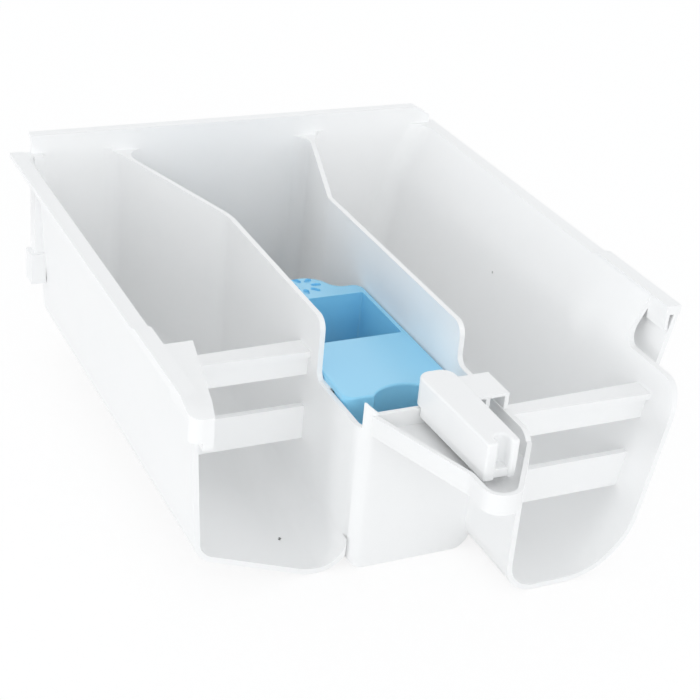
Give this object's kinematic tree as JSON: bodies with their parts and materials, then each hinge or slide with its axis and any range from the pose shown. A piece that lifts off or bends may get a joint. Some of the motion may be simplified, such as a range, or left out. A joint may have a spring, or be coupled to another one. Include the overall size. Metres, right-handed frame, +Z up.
{
  "type": "detergent dispenser drawer",
  "caption": "White moulded washing machine drawer with open-backed detergent troughs, a middle softener chamber, a blue siphon insert and a press-down release lever.",
  "frame": {"origin": "on the plane under the troughs, below the middle of the whole in plan", "axes": "+Y to the front, where the panel is fixed and the drawer is pulled out; +X right as seen from the back; +Z up"},
  "size_m": [0.19, 0.246, 0.0965],
  "materials": {
    "white_moulding": "fine satin moulding",
    "blue_moulding": "satin, slightly translucent",
    "white_lever": "fine satin moulding"
  },
  "bodies": {
    "drawer": {"drawer_tray": "white_moulding", "siphon_insert": "blue_moulding"},
    "lever": {"release_lever": "white_lever"}
  },
  "joints": [
    {"name": "lever_press", "type": "hinge", "parent": "drawer", "child": "lever", "pos_m": [0.0032, -0.07, 0.0655], "axis": [1, 0, 0], "range_deg": [0, 3.5], "stiffness_Nm_per_rad": 0.5, "springref_deg": -5.73}
  ]
}
